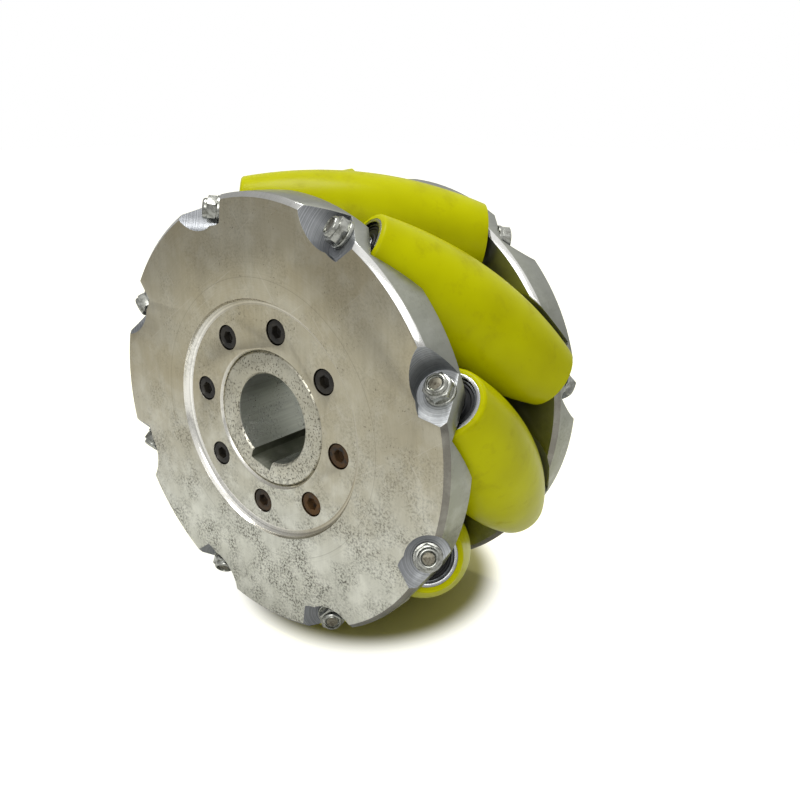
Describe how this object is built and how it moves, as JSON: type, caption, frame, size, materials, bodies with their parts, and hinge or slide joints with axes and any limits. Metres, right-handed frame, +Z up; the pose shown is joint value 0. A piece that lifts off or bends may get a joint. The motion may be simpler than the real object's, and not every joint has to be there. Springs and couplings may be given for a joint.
{
  "type": "mecanum wheel",
  "caption": "Omnidirectional drive wheel: barrel-shaped polyurethane rollers set at 45 degrees between two screwed side plates on a keyed hub.",
  "frame": {"origin": "centre of the wheel, on the axis of the shaft bore and midway between the side plates", "axes": "+Y along the shaft bore, the axis the wheel spins about; the front side plate, with the nuts, faces -Y; +Z is up"},
  "size_m": [0.2032, 0.101, 0.2032],
  "materials": {
    "aluminium_plate": "turned, satin, lightly stained",
    "aluminium_hub": "turned, satin",
    "polyurethane": "smooth moulded, glossy",
    "seal_rubber": "matt moulded",
    "bearing_steel": "ground",
    "zinc_plated_steel": "zinc plated",
    "black_oxide_steel": "black oxide"
  },
  "bodies": {
    "root": {"front_plate": "aluminium_plate", "rear_plate": "aluminium_plate", "hub": "aluminium_hub", "front_hub_screws": "black_oxide_steel", "rear_hub_screws": "black_oxide_steel", "axle_bolt_1": "zinc_plated_steel", "axle_bolt_2": "zinc_plated_steel", "axle_bolt_3": "zinc_plated_steel", "axle_bolt_4": "zinc_plated_steel", "axle_bolt_5": "zinc_plated_steel", "axle_bolt_6": "zinc_plated_steel", "axle_bolt_7": "zinc_plated_steel", "axle_bolt_8": "zinc_plated_steel", "bearing_inner_rings_1": "bearing_steel", "bearing_inner_rings_2": "bearing_steel", "bearing_inner_rings_3": "bearing_steel", "bearing_inner_rings_4": "bearing_steel", "bearing_inner_rings_5": "bearing_steel", "bearing_inner_rings_6": "bearing_steel", "bearing_inner_rings_7": "bearing_steel", "bearing_inner_rings_8": "bearing_steel", "bearing_spacers": "bearing_steel", "axle_collars": "bearing_steel", "lock_nuts": "zinc_plated_steel", "front_washers": "zinc_plated_steel", "rear_washers": "zinc_plated_steel"},
    "roller_1": {"roller_tread_1": "polyurethane", "roller_tube_1": "bearing_steel", "bearing_outer_rings_1": "bearing_steel", "bearing_seals_1": "seal_rubber"},
    "roller_2": {"roller_tread_2": "polyurethane", "roller_tube_2": "bearing_steel", "bearing_outer_rings_2": "bearing_steel", "bearing_seals_2": "seal_rubber"},
    "roller_3": {"roller_tread_3": "polyurethane", "roller_tube_3": "bearing_steel", "bearing_outer_rings_3": "bearing_steel", "bearing_seals_3": "seal_rubber"},
    "roller_4": {"roller_tread_4": "polyurethane", "roller_tube_4": "bearing_steel", "bearing_outer_rings_4": "bearing_steel", "bearing_seals_4": "seal_rubber"},
    "roller_5": {"roller_tread_5": "polyurethane", "roller_tube_5": "bearing_steel", "bearing_outer_rings_5": "bearing_steel", "bearing_seals_5": "seal_rubber"},
    "roller_6": {"roller_tread_6": "polyurethane", "roller_tube_6": "bearing_steel", "bearing_outer_rings_6": "bearing_steel", "bearing_seals_6": "seal_rubber"},
    "roller_7": {"roller_tread_7": "polyurethane", "roller_tube_7": "bearing_steel", "bearing_outer_rings_7": "bearing_steel", "bearing_seals_7": "seal_rubber"},
    "roller_8": {"roller_tread_8": "polyurethane", "roller_tube_8": "bearing_steel", "bearing_outer_rings_8": "bearing_steel", "bearing_seals_8": "seal_rubber"}
  },
  "joints": [
    {"name": "roller_1_spin", "type": "hinge", "parent": "root", "child": "roller_1", "pos_m": [0.07849, 0, -0.01327], "axis": [0.1179, -0.7071, 0.6972], "continuous": true},
    {"name": "roller_2_spin", "type": "hinge", "parent": "root", "child": "roller_2", "pos_m": [0.06488, 0, 0.04611], "axis": [-0.4096, -0.7071, 0.5764], "continuous": true},
    {"name": "roller_3_spin", "type": "hinge", "parent": "root", "child": "roller_3", "pos_m": [0.01327, 0, 0.07849], "axis": [-0.6972, -0.7071, 0.1179], "continuous": true},
    {"name": "roller_4_spin", "type": "hinge", "parent": "root", "child": "roller_4", "pos_m": [-0.04611, 0, 0.06488], "axis": [-0.5764, -0.7071, -0.4096], "continuous": true},
    {"name": "roller_5_spin", "type": "hinge", "parent": "root", "child": "roller_5", "pos_m": [-0.07849, 0, 0.01327], "axis": [-0.1179, -0.7071, -0.6972], "continuous": true},
    {"name": "roller_6_spin", "type": "hinge", "parent": "root", "child": "roller_6", "pos_m": [-0.06488, 0, -0.04611], "axis": [0.4096, -0.7071, -0.5764], "continuous": true},
    {"name": "roller_7_spin", "type": "hinge", "parent": "root", "child": "roller_7", "pos_m": [-0.01327, 0, -0.07849], "axis": [0.6972, -0.7071, -0.1179], "continuous": true},
    {"name": "roller_8_spin", "type": "hinge", "parent": "root", "child": "roller_8", "pos_m": [0.04611, 0, -0.06488], "axis": [0.5764, -0.7071, 0.4096], "continuous": true}
  ]
}
